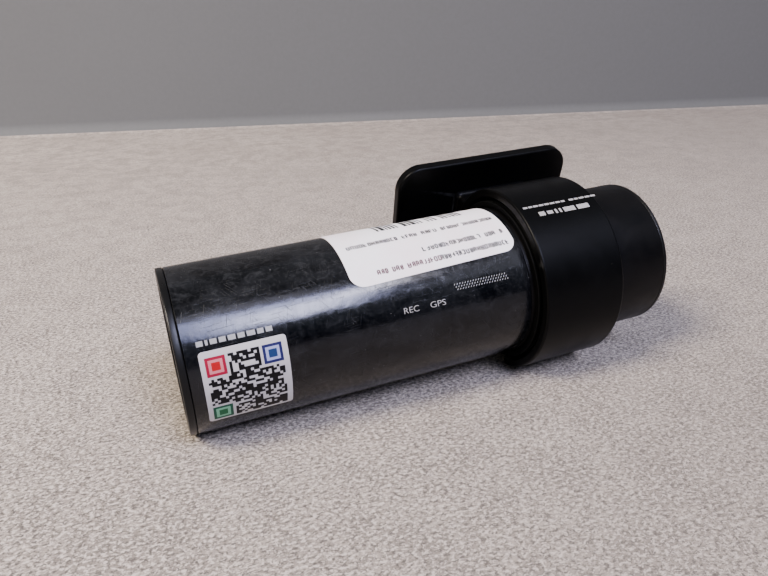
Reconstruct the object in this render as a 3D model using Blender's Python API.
"""Cylindrical dash camera in its stick-on windscreen bracket, lying on a flat surface.

Everything is drawn in a straight design frame: the tube's axis is +X with its connector end at X = 0, +Y is the
side that the mounting plate is on, and +Z is up. Angles round the tube run from +Y towards +Z. One empty then tilts
the whole camera to the way it lies and moves it onto the floor. Numbers are millimetres until they become vertices.
"""

import math

import bmesh
import bpy
from mathutils import Matrix, Vector

MM = 0.001

# Tube, its film and its two ends
TUBE_R = 18.0
TUBE_INNER_R = 16.3
TUBE_LENGTH = 116.4
FLANGE_X = 1.5
FILM_END_X = 77.2
FILM_BED_R = 17.75
FILM_INNER_R = 17.85
SPIGOT_R = 16.1
SPIGOT_INNER_R = 14.9
END_CAP_X = 115.0

# Cuff of the bracket, and the swivel sleeve inside it
CUFF_X0 = 78.4
CUFF_X1 = 99.2
CUFF_R = 22.5
CUFF_BORE_R = 19.35
CUFF_MOUTH_R = 19.95
CUFF_STOP_X = 97.0
CUFF_STOP_R = 18.35
SLEEVE_X0 = 78.0
SLEEVE_X1 = 96.7
SLEEVE_R = 19.05
SLEEVE_LIP_R = 19.6
SLEEVE_BORE_R = 18.2
SLOT_END_X = 95.6
CUFF_SLOT_HALF_DEG = 43.0
SLEEVE_SLOT_HALF_DEG = 22.5

# Mounting plate: z is the distance from the tube's axis, y runs down the plate
PLATE_DEG = 17.5
PLATE_X = (61.5, 111.5)
PLATE_Y = (-19.8, 13.0)
PLATE_Z = (23.9, 26.9)
PLATE_CORNER = 6.2
PAD_THICKNESS = 1.0

# Release button in a pocket of the bracket's neck
POCKET_X0 = 89.4
POCKET_Z = 21.7
BUTTON_TRAVEL = 1.2

# Lens: it points away from the axis at this angle
LENS_X = 88.5
LENS_DEG = -60.0
LENS_RIM_R = 22.12
BEZEL_R = 6.5
BARREL_R = 5.6

# Main board and what it carries: z is towards the lens, y is across the board
BOARD_X = (3.4, 104.0)
BOARD_HALF_Y = 13.5
BOARD_Z = (-3.5, -2.1)
POWER_JACK_YZ = (6.6, 2.2)
REAR_JACK_YZ = (-6.8, 1.9)
CARD_Z = -4.8
WIFI_BUTTON_Z = -10.6
LIGHT_DEG = 159.7
REC_X = 48.2
GPS_X = 54.2
SPEAKER_X = 65.3
SPEAKER_DEG = 152.0

# Printed labels on the film
CODE_X = (4.05, 21.05)
CODE_DEG = (158.0, 211.0)
STICKER_X = (36.3, 76.0)
STICKER_DEG = (57.4, 138.4)

# How it lies: the tube drops from the cuff down to its connector end
REST_TILT_DEG = 2.86

ROUND = 72

COLOURS = {
    "bracket_black": ((0.016, 0.016, 0.018), 0.0, 0.5),
    "foam_black": ((0.03, 0.03, 0.03), 0.0, 0.9),
    "button_black": ((0.02, 0.02, 0.022), 0.0, 0.45),
    "spring_steel": ((0.6, 0.6, 0.62), 1.0, 0.3),
    "sleeve_black": ((0.02, 0.02, 0.02), 0.0, 0.6),
    "tube_black": ((0.015, 0.015, 0.017), 0.0, 0.35),
    "film_black": ((0.008, 0.008, 0.01), 0.0, 0.12),
    "cap_black": ((0.02, 0.02, 0.02), 0.0, 0.4),
    "bezel_black": ((0.012, 0.012, 0.012), 0.0, 0.25),
    "barrel_black": ((0.01, 0.01, 0.01), 0.6, 0.35),
    "lens_glass": ((0.5, 0.55, 0.65), 0.0, 0.02),
    "holder_black": ((0.02, 0.02, 0.02), 0.0, 0.6),
    "sensor_dark": ((0.04, 0.05, 0.07), 0.2, 0.2),
    "board_green": ((0.02, 0.11, 0.05), 0.0, 0.45),
    "flex_amber": ((0.35, 0.16, 0.03), 0.0, 0.35),
    "connector_ivory": ((0.62, 0.58, 0.48), 0.0, 0.5),
    "chip_black": ((0.015, 0.015, 0.015), 0.0, 0.55),
    "thermal_grey": ((0.35, 0.37, 0.4), 0.0, 0.8),
    "sink_aluminium": ((0.75, 0.76, 0.78), 1.0, 0.35),
    "screw_steel": ((0.55, 0.55, 0.56), 1.0, 0.3),
    "cell_blue": ((0.05, 0.1, 0.28), 0.0, 0.3),
    "ceramic_tan": ((0.6, 0.5, 0.36), 0.0, 0.6),
    "speaker_grey": ((0.12, 0.12, 0.13), 0.3, 0.5),
    "socket_steel": ((0.6, 0.6, 0.6), 1.0, 0.3),
    "card_black": ((0.02, 0.02, 0.022), 0.0, 0.4),
    "jack_black": ((0.025, 0.025, 0.025), 0.0, 0.5),
    "pin_brass": ((0.7, 0.5, 0.2), 1.0, 0.25),
    "rail_grey": ((0.15, 0.15, 0.16), 0.0, 0.55),
    "led_amber": ((0.8, 0.45, 0.1), 0.0, 0.3),
    "pipe_clear": ((0.8, 0.85, 0.9), 0.0, 0.1),
    "label_white": ((0.8, 0.8, 0.8), 0.0, 0.5),
}


def clear_scene():
    for obj in list(bpy.data.objects):
        bpy.data.objects.remove(obj)


def new_collection(name):
    collection = bpy.data.collections.new(name)
    bpy.context.scene.collection.children.link(collection)
    return collection


def new_material(name):
    colour, metallic, roughness = COLOURS[name]
    material = bpy.data.materials.new(name)
    material.use_nodes = True
    shader = material.node_tree.nodes["Principled BSDF"]
    shader.inputs["Base Color"].default_value = (*colour, 1.0)
    shader.inputs["Metallic"].default_value = metallic
    shader.inputs["Roughness"].default_value = roughness
    return material


# Frames


def offset(x, y, z):
    return Matrix.Translation(Vector((x, y, z)) * MM)


def along_tube():
    """Local z runs along the tube, and local x and y are the design frame's y and z."""
    return Matrix(((0, 0, 1, 0), (1, 0, 0, 0), (0, 1, 0, 0), (0, 0, 0, 1)))


def outward(x, degrees):
    """Origin on the axis at x, local x along the tube and local z pointing out at this angle."""
    angle = math.radians(degrees)
    out = Vector((0, math.cos(angle), math.sin(angle)))
    across = out.cross(Vector((1, 0, 0)))
    rotation = Matrix((Vector((1, 0, 0)), across, out)).transposed().to_4x4()
    return offset(x, 0, 0) @ rotation


def core(x=0.0, y=0.0, z=0.0):
    """The electronics' frame: local z points the way the lens does."""
    return outward(0, LENS_DEG) @ offset(x, y, z)


def core_along_tube(y, z):
    """A frame beside the axis, in the electronics' y and z, whose local z runs along the tube."""
    return core(0, y, z) @ along_tube()


def bracket_frame():
    return outward(0, PLATE_DEG)


# Mesh builders: each returns a bmesh in millimetres


def turned(profile, segments=ROUND):
    """Turns (height, radius) points about z. It is solid if it starts and ends on the axis, and else a ring."""
    bm = bmesh.new()
    rings = []
    for height, radius in profile:
        if radius == 0:
            rings.append([bm.verts.new((0, 0, height))])
            continue
        angles = [2 * math.pi * i / segments for i in range(segments)]
        rings.append([bm.verts.new((radius * math.cos(a), radius * math.sin(a), height)) for a in angles])
    pairs = list(zip(rings, rings[1:]))
    if len(rings[0]) > 1:
        pairs.append((rings[-1], rings[0]))
    for low, high in pairs:
        for i in range(segments):
            j = (i + 1) % segments
            corners = [low[i % len(low)], low[j % len(low)], high[j % len(high)], high[i % len(high)]]
            bm.faces.new(list(dict.fromkeys(corners)))
    bmesh.ops.recalc_face_normals(bm, faces=bm.faces)
    return bm


def lofted(loops):
    """Joins closed loops of points, each with as many points as the next, and closes both ends."""
    bm = bmesh.new()
    rings = [[bm.verts.new(point) for point in loop] for loop in loops]
    count = len(rings[0])
    for low, high in zip(rings, rings[1:]):
        for i in range(count):
            j = (i + 1) % count
            bm.faces.new((low[i], low[j], high[j], high[i]))
    bm.faces.new(rings[0][::-1])
    bm.faces.new(rings[-1])
    bmesh.ops.recalc_face_normals(bm, faces=bm.faces)
    return bm


def block(x, y, z):
    loops = [[(x[0], y[0], h), (x[1], y[0], h), (x[1], y[1], h), (x[0], y[1], h)] for h in z]
    return lofted(loops)


def rounded_outline(x, y, radius, height, steps=6):
    points = []
    corners = ((x[1], y[1], 0), (x[0], y[1], 90), (x[0], y[0], 180), (x[1], y[0], 270))
    for corner_x, corner_y, start in corners:
        centre_x = corner_x - math.copysign(radius, corner_x - sum(x) / 2)
        centre_y = corner_y - math.copysign(radius, corner_y - sum(y) / 2)
        for i in range(steps + 1):
            angle = math.radians(start + 90 * i / steps)
            points.append((centre_x + radius * math.cos(angle), centre_y + radius * math.sin(angle), height))
    return points


def rounded_block(x, y, z, radius, edge, steps=6):
    """A block with round corners in its plan, and its top and bottom edges eased by edge."""
    levels = ((z[0], edge), (z[0] + 0.3 * edge, 0.3 * edge), (z[0] + edge, 0.0))
    levels += ((z[1] - edge, 0.0), (z[1] - 0.3 * edge, 0.3 * edge), (z[1], edge))
    loops = []
    for height, inset in levels:
        inner_x = (x[0] + inset, x[1] - inset)
        inner_y = (y[0] + inset, y[1] - inset)
        loops.append(rounded_outline(inner_x, inner_y, radius - inset, height, steps))
    return lofted(loops)


def curved_panel(x, radii, degrees, steps):
    """A panel round the tube's axis, as wide as x and covering these degrees."""
    bm = bmesh.new()
    rings = []
    for i in range(steps + 1):
        angle = math.radians(degrees[0] + (degrees[1] - degrees[0]) * i / steps)
        corners = ((x[0], radii[0]), (x[1], radii[0]), (x[1], radii[1]), (x[0], radii[1]))
        rings.append([bm.verts.new((r * math.cos(angle), r * math.sin(angle), h)) for h, r in corners])
    for low, high in zip(rings, rings[1:]):
        for i in range(4):
            j = (i + 1) % 4
            bm.faces.new((low[i], low[j], high[j], high[i]))
    bm.faces.new(rings[0][::-1])
    bm.faces.new(rings[-1])
    bmesh.ops.recalc_face_normals(bm, faces=bm.faces)
    return bm


def extruded(profile, x):
    """A (y, z) outline extruded along x."""
    return lofted([[(h, y, z) for y, z in profile] for h in x])


def coil(x, radius, wire, turns, per_turn=10, sides=5):
    """A round wire wound about x."""
    loops = []
    count = turns * per_turn
    for i in range(count + 1):
        angle = 2 * math.pi * i / per_turn
        centre_x = x[0] + (x[1] - x[0]) * i / count
        loop = []
        for j in range(sides):
            around = 2 * math.pi * j / sides
            reach = radius + wire * math.cos(around)
            loop.append((centre_x + wire * math.sin(around), reach * math.cos(angle), reach * math.sin(angle)))
        loops.append(loop)
    return lofted(loops)


def strip_sides(path, half):
    """The two sides of a strip this wide, half each way, about a path of 2-D points."""
    sides = ([], [])
    for before, here, after in zip(path[:1] + path, path, path[1:] + path[-1:]):
        along = (after - before).normalized()
        across = Vector((-along.y, along.x)) * half
        sides[0].append(tuple(here + across))
        sides[1].append(tuple(here - across))
    return sides


# Objects


class Builder:
    """Makes the objects, each under the empty that its body moves by."""

    def __init__(self):
        self.parts = new_collection("dash_camera")
        self.cutters = new_collection("cutters")
        self.materials = {name: new_material(name) for name in COLOURS}
        self.rest = self.empty("rest_pose", None, Matrix())
        self.bodies = {}

    def empty(self, name, parent, frame):
        obj = bpy.data.objects.new(name, None)
        obj.empty_display_size = 0.01
        obj.parent = parent
        obj.matrix_basis = frame
        self.parts.objects.link(obj)
        return obj

    def body(self, name, frame):
        self.bodies[name] = (self.empty(name, self.rest, frame), frame)

    def mesh_object(self, name, bm, frame, parent, parent_frame):
        bmesh.ops.scale(bm, vec=(MM, MM, MM), verts=bm.verts)
        mesh = bpy.data.meshes.new(name)
        bm.to_mesh(mesh)
        bm.free()
        obj = bpy.data.objects.new(name, mesh)
        obj.parent = parent
        obj.matrix_basis = parent_frame.inverted() @ frame
        return obj

    def part(self, name, body, material, bm, frame, smooth_deg=0):
        parent, parent_frame = self.bodies[body]
        obj = self.mesh_object(name, bm, frame, parent, parent_frame)
        obj.data.materials.append(self.materials[material])
        self.parts.objects.link(obj)
        if smooth_deg:
            for polygon in obj.data.polygons:
                polygon.use_smooth = True
            obj.data.set_sharp_from_angle(angle=math.radians(smooth_deg))
        return obj

    def cutter(self, name, bm, frame):
        obj = self.mesh_object(name, bm, frame, self.rest, Matrix())
        obj.hide_render = True
        obj.display_type = "WIRE"
        self.cutters.objects.link(obj)
        return obj

    def cut(self, obj, name, bm, frame, operation="DIFFERENCE"):
        modifier = obj.modifiers.new(name, "BOOLEAN")
        modifier.operation = operation
        modifier.solver = "EXACT"
        modifier.object = self.cutter(name, bm, frame)


# Bracket


def neck_loops():
    """Levels from inside the cuff out to the plate, spreading at the top as fillets."""
    wide, deep, half = 1.6, 1.2, 10.4
    loops = []
    for z in (18.6, 20.4, 21.6, 22.4, 23.0, 23.4, 23.7, 24.6):
        rise_x = min(max(z - (PLATE_Z[0] - wide), 0), wide * 0.96)
        rise_y = min(max(z - (PLATE_Z[0] - deep), 0), deep * 0.94)
        spread_x = wide - math.sqrt(wide**2 - rise_x**2)
        spread_y = deep - math.sqrt(deep**2 - rise_y**2)
        x = (CUFF_X0 + 0.35 - spread_x, CUFF_X1 - 0.35 + spread_x)
        y = (-half - spread_y, half + spread_y)
        loops.append(rounded_outline(x, y, 1.2 + 0.5 * spread_x, z, 3))
    return loops


def build_bracket(make):
    outside = [(CUFF_X0, 0), (CUFF_X0, CUFF_R - 0.6), (CUFF_X0 + 0.18, CUFF_R - 0.18), (CUFF_X0 + 0.6, CUFF_R)]
    outside += [(CUFF_X1 - 0.6, CUFF_R), (CUFF_X1 - 0.18, CUFF_R - 0.18), (CUFF_X1, CUFF_R - 0.6), (CUFF_X1, 0)]
    obj = make.part("mount_bracket", "bracket_root", "bracket_black", turned(outside), along_tube(), 35)
    make.cut(obj, "neck_union", lofted(neck_loops()), bracket_frame(), "UNION")
    plate = rounded_block(PLATE_X, PLATE_Y, PLATE_Z, PLATE_CORNER, 0.7)
    make.cut(obj, "plate_union", plate, bracket_frame(), "UNION")
    slot = (LENS_DEG - CUFF_SLOT_HALF_DEG, LENS_DEG + CUFF_SLOT_HALF_DEG)
    slot_panel = curved_panel((CUFF_X0 - 3, SLOT_END_X), (17.0, 26.0), slot, 18)
    make.cut(obj, "lens_slot_cut", slot_panel, along_tube())
    pocket = block((POCKET_X0, CUFF_X1 + 3), (-4.3, 4.3), (POCKET_Z - 1.55, POCKET_Z + 1.55))
    make.cut(obj, "button_pocket_cut", pocket, bracket_frame())
    bore = [(CUFF_X0 - 1.0, 0), (CUFF_X0 - 1.0, 21.45), (CUFF_X0 + 0.9, CUFF_MOUTH_R)]
    bore += [(CUFF_X0 + 2.3, CUFF_MOUTH_R), (CUFF_X0 + 2.3, CUFF_BORE_R), (CUFF_STOP_X, CUFF_BORE_R)]
    bore += [(CUFF_STOP_X, CUFF_STOP_R), (CUFF_X1 + 2.0, CUFF_STOP_R), (CUFF_X1 + 2.0, 0)]
    make.cut(obj, "cuff_bore_cut", turned(bore), along_tube())


def build_adhesive_pad(make):
    x = (PLATE_X[0] + 1.6, PLATE_X[1] - 1.6)
    y = (PLATE_Y[0] + 1.6, PLATE_Y[1] - 1.6)
    z = (PLATE_Z[1] + 0.05, PLATE_Z[1] + 0.05 + PAD_THICKNESS)
    pad = rounded_block(x, y, z, PLATE_CORNER - 1.4, 0.08)
    make.part("adhesive_pad", "bracket_root", "foam_black", pad, bracket_frame())


def build_release_button(make):
    x = (POCKET_X0 + 4.2, CUFF_X1 + 1.5)
    # Its wide front face is the one pressed, so the block is eased along the tube.
    button = rounded_block((-1.2, 1.2), (-3.9, 3.9), x, 0.8, 0.3, 3)
    frame = bracket_frame() @ offset(0, 0, POCKET_Z) @ Matrix.Rotation(math.radians(90), 4, "Y")
    make.part("release_button", "release_press", "button_black", button, frame, 35)
    spring = coil((POCKET_X0 + 0.3, POCKET_X0 + 4.0), 0.95, 0.15, 4)
    make.part("release_spring", "bracket_root", "spring_steel", spring, bracket_frame() @ offset(0, 0, POCKET_Z), 60)


# Swivel sleeve


def build_sleeve(make):
    x = SLEEVE_X0
    profile = [(x, SLEEVE_BORE_R), (x, SLEEVE_LIP_R - 0.3), (x + 0.3, SLEEVE_LIP_R), (x + 0.8, SLEEVE_LIP_R)]
    profile += [(x + 0.8, SLEEVE_LIP_R - 0.4), (x + 1.2, SLEEVE_LIP_R - 0.4), (x + 1.2, SLEEVE_LIP_R)]
    profile += [(x + 2.4, SLEEVE_LIP_R), (x + 2.4, SLEEVE_R), (SLEEVE_X1, SLEEVE_R), (SLEEVE_X1, SLEEVE_BORE_R)]
    obj = make.part("swivel_sleeve", "sleeve_turn", "sleeve_black", turned(profile), along_tube(), 35)
    slot = (LENS_DEG - SLEEVE_SLOT_HALF_DEG, LENS_DEG + SLEEVE_SLOT_HALF_DEG)
    slot_panel = curved_panel((SLEEVE_X0 - 3, SLOT_END_X - 0.2), (17.0, 21.0), slot, 8)
    make.cut(obj, "sleeve_slot_cut", slot_panel, along_tube())


# Camera shell


def build_main_tube(make):
    profile = [(FLANGE_X + 0.1, TUBE_INNER_R), (FLANGE_X + 0.1, FILM_BED_R), (FILM_END_X + 0.1, FILM_BED_R)]
    profile += [(FILM_END_X + 0.1, TUBE_R), (END_CAP_X - 0.1, TUBE_R), (END_CAP_X - 0.1, TUBE_INNER_R)]
    obj = make.part("main_tube", "camera_slide", "tube_black", turned(profile), along_tube(), 35)
    lens_hole = turned([(8, 0), (8, BEZEL_R + 0.3), (26, BEZEL_R + 0.3), (26, 0)], 40)
    make.cut(obj, "lens_hole_cut", lens_hole, outward(LENS_X, LENS_DEG))
    for name, x in (("rec", REC_X), ("gps", GPS_X)):
        hole = turned([(14, 0), (14, 1.1), (20, 1.1), (20, 0)], 12)
        make.cut(obj, name + "_hole_cut", hole, outward(x, LIGHT_DEG))
    grille = block((-6.4, 6.4), (-1.1, 1.1), (14, 20))
    make.cut(obj, "speaker_hole_cut", grille, outward(SPEAKER_X, SPEAKER_DEG))


def build_film(make):
    seam = (LENS_DEG + 2, LENS_DEG + 358)
    film = curved_panel((FLANGE_X + 0.15, FILM_END_X), (FILM_INNER_R, TUBE_R), seam, ROUND)
    make.part("cover_film", "camera_slide", "film_black", film, along_tube(), 35)


def build_labels(make):
    radii = (TUBE_R + 0.04, TUBE_R + 0.14)
    code = curved_panel(CODE_X, radii, CODE_DEG, 12)
    make.part("code_label", "camera_slide", "label_white", code, along_tube(), 35)
    sticker = curved_panel(STICKER_X, radii, STICKER_DEG, 18)
    make.part("service_sticker", "camera_slide", "label_white", sticker, along_tube(), 35)


def build_connector_cap(make):
    profile = [(0.8, 0), (0.8, 15.0), (0, 15.3), (0, TUBE_R - 0.35), (0.35, TUBE_R), (FLANGE_X, TUBE_R)]
    profile += [(FLANGE_X, SPIGOT_R), (6.0, SPIGOT_R), (6.0, SPIGOT_INNER_R), (2.4, SPIGOT_INNER_R), (2.4, 0)]
    obj = make.part("connector_cap", "camera_slide", "cap_black", turned(profile), along_tube(), 35)
    holes = (("power", POWER_JACK_YZ, 2.9), ("rear", REAR_JACK_YZ, 2.1), ("wifi", (0, WIFI_BUTTON_Z), 2.65))
    for name, (y, z), radius in holes:
        hole = turned([(-1, 0), (-1, radius), (4, radius), (4, 0)], 28)
        make.cut(obj, name + "_port_cut", hole, core_along_tube(y, z))
    card_slot = block((-1, 4), (-6.0, 6.0), (CARD_Z - 0.85, CARD_Z + 0.85))
    make.cut(obj, "card_port_cut", card_slot, core())


def build_end_cap(make):
    face = TUBE_LENGTH
    profile = [(110.5, SPIGOT_R), (END_CAP_X, SPIGOT_R), (END_CAP_X, TUBE_R), (face - 0.8, TUBE_R)]
    profile += [(face - 0.25, TUBE_R - 0.2), (face, TUBE_R - 0.75), (face, 15.2), (face - 0.5, 14.8), (face - 0.5, 0)]
    profile += [(face - 2.2, 0), (face - 2.2, SPIGOT_INNER_R), (110.5, SPIGOT_INNER_R)]
    # The list starts at the spigot, so it is turned round to start and end on the axis.
    middle = next(i for i, point in enumerate(profile) if point[1] == 0) + 1
    profile = profile[middle:] + profile[:middle]
    make.part("end_cap", "camera_slide", "cap_black", turned(profile), along_tube(), 35)


# Lens and sensor


def build_lens(make):
    frame = outward(LENS_X, LENS_DEG)
    rim = LENS_RIM_R
    rings = {
        "lens_bezel": ("bezel_black", [(13.9, 5.85), (13.9, BEZEL_R), (rim, BEZEL_R), (rim, 6.1), (rim - 1.4, 5.85)]),
        "lens_holder": ("holder_black", [(7.4, 5.95), (7.4, 7.3), (13.4, 7.3), (13.4, 5.95)]),
        "lens_barrel": (
            "barrel_black",
            [(9.2, 3.6), (9.2, BARREL_R), (20.9, BARREL_R), (20.9, 5.1), (19.6, 5.1)]
            + [(19.6, 4.5), (10.0, 4.5), (10.0, 3.6)],
        ),
        "lens_retainer": ("barrel_black", [(19.75, 3.9), (19.75, 4.9), (20.7, 4.9), (20.7, 4.2)]),
        "lens_spacer": ("holder_black", [(13.8, 2.6), (13.8, 4.3), (16.6, 4.3), (16.6, 2.6)]),
    }
    for name, (material, profile) in rings.items():
        make.part(name, "camera_slide", material, turned(profile, 40), frame, 35)
    front = [(16.9, 0), (16.9, 4.2), (18.8, 4.2), (19.4, 3.6), (20.1, 2.5), (20.5, 1.2), (20.6, 0)]
    rear = [(10.4, 0), (10.6, 1.8), (11.2, 3.4), (11.7, 4.2), (12.3, 4.2), (12.8, 3.4), (13.3, 1.8), (13.5, 0)]
    make.part("front_lens", "camera_slide", "lens_glass", turned(front, 32), frame, 50)
    make.part("rear_lens", "camera_slide", "lens_glass", turned(rear, 24), frame, 50)


def build_sensor(make):
    frame = core(LENS_X, 0, 0)
    boxes = (
        ("image_sensor", "sensor_dark", (-4.0, 4.0), (-3.5, 3.5), (7.4, 8.4)),
        ("sensor_board", "board_green", (-9.6, 9.6), (-9.0, 9.0), (6.2, 7.2)),
        ("flex_connector", "connector_ivory", (-12.4, -9.0), (-4.5, 4.5), (-1.9, -0.7)),
    )
    for name, material, x, y, z in boxes:
        make.part(name, "camera_slide", material, block(x, y, z), frame)
    path = ((78.6, 6.7), (75.6, 6.7), (74.3, 5.7), (74.1, 0.2), (74.5, -0.9), (75.7, -1.3))
    left, right = strip_sides([Vector(point) for point in path], 0.1)
    ribbon = lofted([[(x, y, z) for x, z in left + right[::-1]] for y in (-4.0, 4.0)])
    make.part("sensor_flex", "camera_slide", "flex_amber", ribbon, core())


# Electronics


def build_board(make):
    board = block(BOARD_X, (-BOARD_HALF_Y, BOARD_HALF_Y), BOARD_Z)
    obj = make.part("main_board", "camera_slide", "board_green", board, core())
    sink = build_heat_sink(make)
    for i, (x, y) in enumerate(((35.5, 8.4), (58.5, -8.4)), start=1):
        clearance = turned([(-6, 0), (-6, 0.95), (1.0, 0.95), (1.0, 0)], 12)
        make.cut(obj, f"board_hole_{i}_cut", clearance, core(x, y, 0))
        blind = turned([(-1, 0), (-1, 0.95), (1.1, 0.95), (1.1, 0)], 12)
        make.cut(sink, f"sink_hole_{i}_cut", blind, core(x, y, 0))
        screw = [(-4.6, 0), (-4.6, 1.3), (-4.3, 1.6), (-3.6, 1.6), (-3.6, 0.7), (0.8, 0.7), (0.8, 0)]
        make.part(f"heat_sink_screw_{i}", "camera_slide", "screw_steel", turned(screw, 12), core(x, y, 0), 35)


def build_heat_sink(make):
    """A base plate with five fins that run along the tube."""
    fin_half, top = 0.5, 5.4
    profile = [(-10.0, 0.4), (10.0, 0.4)]
    for i in range(5):
        y = 9.5 - 4.75 * i
        profile += [(y + fin_half, top), (y - fin_half, top)]
        if i < 4:
            profile += [(y - fin_half, 1.6), (y - 4.75 + fin_half, 1.6)]
    return make.part("heat_sink", "camera_slide", "sink_aluminium", extruded(profile, (33.0, 61.0)), core())


def build_board_parts(make):
    boxes = (
        ("processor", "chip_black", (40, 54), (-7, 7), (-1.9, -0.7)),
        ("thermal_pad", "thermal_grey", (41, 53), (-6, 6), (-0.5, 0.2)),
        ("memory_chip", "chip_black", (62.5, 71.5), (-11, -3), (-1.9, -0.9)),
        ("gps_antenna", "ceramic_tan", (100, 109.5), (-7, 7), (1.0, 5.0)),
        ("wifi_antenna", "board_green", (90, 103), (-4, 4), (-6.0, -5.0)),
        ("wifi_switch", "chip_black", (4.3, 6.1), (-2.2, 2.2), (WIFI_BUTTON_Z - 2.2, WIFI_BUTTON_Z + 2.2)),
        ("end_board", "board_green", (6.4, 7.6), (-7, 7), (-13.2, -6.8)),
        ("rec_led", "led_amber", (REC_X - 0.8, REC_X + 0.8), (3.9, 4.9), (-4.4, -3.7)),
        ("gps_led", "led_amber", (GPS_X - 0.8, GPS_X + 0.8), (3.9, 4.9), (-4.4, -3.7)),
    )
    for name, material, x, y, z in boxes:
        make.part(name, "camera_slide", material, block(x, y, z), core())
    for i, side in enumerate((1, -1), start=1):
        rail = [(12.8, -5.2), (15.0, -5.2), (15.0, -0.4), (12.8, -0.4)]
        rail += [(12.8, -1.8), (13.8, -1.8), (13.8, -3.8), (12.8, -3.8)]
        profile = [(side * y, z) for y, z in rail]
        make.part(f"board_rail_{i}", "camera_slide", "rail_grey", extruded(profile, (8.0, 103.0)), core())
        cell = [(15.5, 0), (15.5, 3.5), (15.9, 3.9), (30.6, 3.9), (31.0, 3.5), (31.0, 0)]
        frame = core_along_tube(4.6 * side, 2.6)
        make.part(f"backup_cell_{i}", "camera_slide", "cell_blue", turned(cell, 20), frame, 35)
    microphone = turned([(-5.4, 0), (-5.4, 1.9), (-3.7, 1.9), (-3.7, 0)], 16)
    make.part("microphone", "camera_slide", "socket_steel", microphone, core(26, 0, 0), 35)


def build_speaker(make):
    profile = [(11.6, 0), (11.6, 3.0), (12.4, 4.6), (14.6, 4.6), (14.6, 4.0), (14.2, 3.6), (13.8, 1.4), (14.1, 0)]
    frame = outward(SPEAKER_X, SPEAKER_DEG)
    make.part("speaker", "camera_slide", "speaker_grey", turned(profile, 28), frame, 35)


def build_light_pipes(make):
    for name, x in (("rec", REC_X), ("gps", GPS_X)):
        pipe = turned([(7.6, 0), (7.6, 0.8), (17.6, 0.8), (17.6, 0)], 12)
        make.part(name + "_light_pipe", "camera_slide", "pipe_clear", pipe, outward(x, LIGHT_DEG), 35)


def build_jacks(make):
    y, z = POWER_JACK_YZ
    body = block((2.7, 13.2), (y - 4.2, y + 4.2), (z - 4.0, z + 4.0))
    jack = make.part("power_jack", "camera_slide", "jack_black", body, core())
    mouth = turned([(1, 0), (1, 2.75), (11.5, 2.75), (11.5, 0)], 24)
    make.cut(jack, "power_jack_cut", mouth, core_along_tube(y, z))
    pin = turned([(3.2, 0), (3.6, 0.7), (11.2, 0.7), (11.2, 0)], 12)
    make.part("power_jack_pin", "camera_slide", "pin_brass", pin, core_along_tube(y, z), 35)
    rear = turned([(14.0, 0), (14.0, 3.4), (2.7, 3.4), (2.7, 1.8), (11.5, 1.8), (11.5, 0)], 24)
    make.part("rear_camera_jack", "camera_slide", "jack_black", rear, core_along_tube(*REAR_JACK_YZ), 35)


def build_card(make):
    body = block((3.0, 18.5), (-7.3, 7.3), (CARD_Z - 1.15, CARD_Z + 1.0))
    socket = make.part("card_socket", "camera_slide", "socket_steel", body, core())
    channel = block((2.0, 17.6), (-5.8, 5.8), (CARD_Z - 0.6, CARD_Z + 0.6))
    make.cut(socket, "card_channel_cut", channel, core())
    card = [[(x, y, CARD_Z + z) for x, y in card_outline()] for z in (-0.35, 0.35)]
    make.part("memory_card", "card_slide", "card_black", lofted(card), core())


def card_outline():
    """A small memory card in plan, with one eased shoulder."""
    return ((1.2, -5.5), (1.2, 5.5), (9.0, 5.5), (10.0, 4.6), (16.2, 4.6), (16.2, -5.5))


def build_wifi_button(make):
    profile = [(0.45, 0), (0.45, 2.0), (0.8, 2.35), (2.7, 2.35), (2.7, 3.1), (3.6, 3.1), (3.6, 0)]
    make.part("wifi_button", "wifi_press", "button_black", turned(profile, 28), core_along_tube(0, WIFI_BUTTON_Z), 35)


def seat_on_floor(make):
    """Tilts the camera to the way it lies, then puts its bounding box's bottom centre at the origin."""
    tilt = Matrix.Rotation(math.radians(-REST_TILT_DEG), 4, "Y")
    make.rest.matrix_basis = tilt
    bpy.context.view_layer.update()
    graph = bpy.context.evaluated_depsgraph_get()
    low = Vector((math.inf,) * 3)
    high = Vector((-math.inf,) * 3)
    for obj in make.parts.objects:
        if obj.type != "MESH":
            continue
        solid = obj.evaluated_get(graph)
        for vertex in solid.data.vertices:
            point = solid.matrix_world @ vertex.co
            low = Vector(map(min, low, point))
            high = Vector(map(max, high, point))
    shift = Vector((-(low.x + high.x) / 2, -(low.y + high.y) / 2, -low.z))
    make.rest.matrix_basis = Matrix.Translation(shift) @ tilt
    bpy.context.view_layer.update()
    print("design origin sits at", [round(v, 7) for v in shift])


def main():
    clear_scene()
    make = Builder()
    make.body("bracket_root", Matrix())
    make.body("sleeve_turn", offset(CUFF_X0, 0, 0))
    make.body("camera_slide", Matrix())
    make.body("release_press", bracket_frame() @ offset(CUFF_X1, 0, POCKET_Z))
    make.body("wifi_press", core(0, 0, WIFI_BUTTON_Z))
    make.body("card_slide", core(0, 0, CARD_Z))
    build_bracket(make)
    build_adhesive_pad(make)
    build_release_button(make)
    build_sleeve(make)
    build_main_tube(make)
    build_film(make)
    build_labels(make)
    build_connector_cap(make)
    build_end_cap(make)
    build_lens(make)
    build_sensor(make)
    build_board(make)
    build_board_parts(make)
    build_speaker(make)
    build_light_pipes(make)
    build_jacks(make)
    build_card(make)
    build_wifi_button(make)
    seat_on_floor(make)


main()
